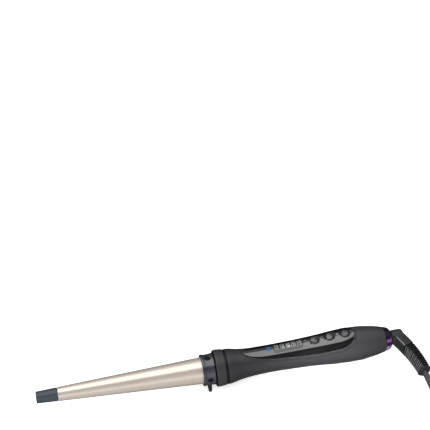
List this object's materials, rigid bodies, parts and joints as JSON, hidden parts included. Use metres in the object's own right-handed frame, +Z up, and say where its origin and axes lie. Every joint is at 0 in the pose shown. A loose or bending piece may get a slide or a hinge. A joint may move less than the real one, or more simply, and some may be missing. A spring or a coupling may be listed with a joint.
{
  "type": "curling wand",
  "caption": "Tapered hair curling wand with a capped tip, splayed rest feet, a handle with display and push buttons, and a swivelling cord with its plug.",
  "frame": {"origin": "on the ground, under the middle of the bounding box of the whole part", "axes": "the wand lies in the XZ plane with its tip towards -X and the control panel up; +Z is up and the wand is pitched 1.9 degrees tip up, as it stands on its rest feet and the belly of the handle"},
  "size_m": [0.4262, 0.138, 0.0357],
  "materials": {
    "tip_plastic": "dark slate heat-proof plastic",
    "ceramic_coated_barrel": "pearl rose-gold ceramic coat, satin",
    "aluminium_shoe": "extruded",
    "heater_ceramic": "unglazed",
    "white_plastic": "plain",
    "steel": "zinc plated",
    "collar_plastic": "satin blue-grey",
    "handle_plastic": "soft-touch dark grey",
    "panel_gloss": "gloss black",
    "window_tint": "smoked clear window",
    "blue_lens": "blue lit lens",
    "circuit_board": "green solder mask",
    "black_plastic": "moulded",
    "button_plastic": "satin dark grey",
    "contact_brass": "bright",
    "purple_plastic": "translucent purple",
    "red_wire": "silicone sleeve",
    "blue_wire": "silicone sleeve",
    "white_wire": "silicone sleeve",
    "cord_rubber": "dark grey moulded rubber"
  },
  "bodies": {
    "wand": {"cool_tip_cap": "tip_plastic", "heated_barrel": "ceramic_coated_barrel", "heater_shoe_upper": "aluminium_shoe", "heater_shoe_lower": "aluminium_shoe", "ceramic_heater": "heater_ceramic", "temperature_sensor": "white_plastic", "thermal_fuse": "steel", "barrel_bush": "heater_ceramic", "barrel_collar": "collar_plastic", "collar_screw_top": "steel", "collar_screw_left": "steel", "collar_screw_bottom": "steel", "collar_screw_right": "steel", "handle_front_ring": "handle_plastic", "handle_shell_upper": "handle_plastic", "handle_shell_lower": "handle_plastic", "shell_screw_front": "steel", "shell_screw_rear_left": "steel", "shell_screw_rear_right": "steel", "control_panel": "panel_gloss", "display_window": "window_tint", "power_light_lens": "blue_lens", "control_board": "circuit_board", "display_module": "white_plastic", "power_light_led": "white_plastic", "microcontroller": "black_plastic", "triac": "black_plastic", "mains_capacitor": "white_plastic", "power_switch": "black_plastic", "temperature_down_switch": "black_plastic", "temperature_up_switch": "black_plastic", "swivel_housing": "black_plastic", "brush_holder": "black_plastic", "contact_brush_live": "contact_brass", "contact_brush_neutral": "contact_brass", "end_ring": "purple_plastic", "heater_lead_live": "red_wire", "heater_lead_neutral": "blue_wire", "sensor_lead": "white_wire", "supply_lead_live": "red_wire", "supply_lead_neutral": "blue_wire"},
    "cord_set": {"slip_ring_live": "contact_brass", "slip_ring_neutral": "contact_brass", "swivel_journal": "black_plastic", "cord_guard": "cord_rubber", "power_cord": "cord_rubber", "plug_body": "cord_rubber", "plug_pin_left": "contact_brass", "plug_pin_right": "contact_brass"},
    "power_button": {"power_button": "button_plastic", "power_switch_plunger": "white_plastic"},
    "temperature_down_button": {"temperature_down_button": "button_plastic", "temperature_down_switch_plunger": "white_plastic"},
    "temperature_up_button": {"temperature_up_button": "button_plastic", "temperature_up_switch_plunger": "white_plastic"}
  },
  "joints": [
    {"name": "cord_swivel", "type": "hinge", "parent": "wand", "child": "cord_set", "pos_m": [0.12062, 0.05157, 0.01521], "axis": [-0.9995, 0, 0.0332], "continuous": true},
    {"name": "power_press", "type": "slide", "parent": "wand", "child": "power_button", "axis": [-0.0332, 0, -0.9995], "range_m": [0, 0.0006], "stiffness_N_per_m": 1500},
    {"name": "temperature_down_press", "type": "slide", "parent": "wand", "child": "temperature_down_button", "axis": [-0.0332, 0, -0.9995], "range_m": [0, 0.0006], "stiffness_N_per_m": 1500},
    {"name": "temperature_up_press", "type": "slide", "parent": "wand", "child": "temperature_up_button", "axis": [-0.0332, 0, -0.9995], "range_m": [0, 0.0006], "stiffness_N_per_m": 1500}
  ]
}
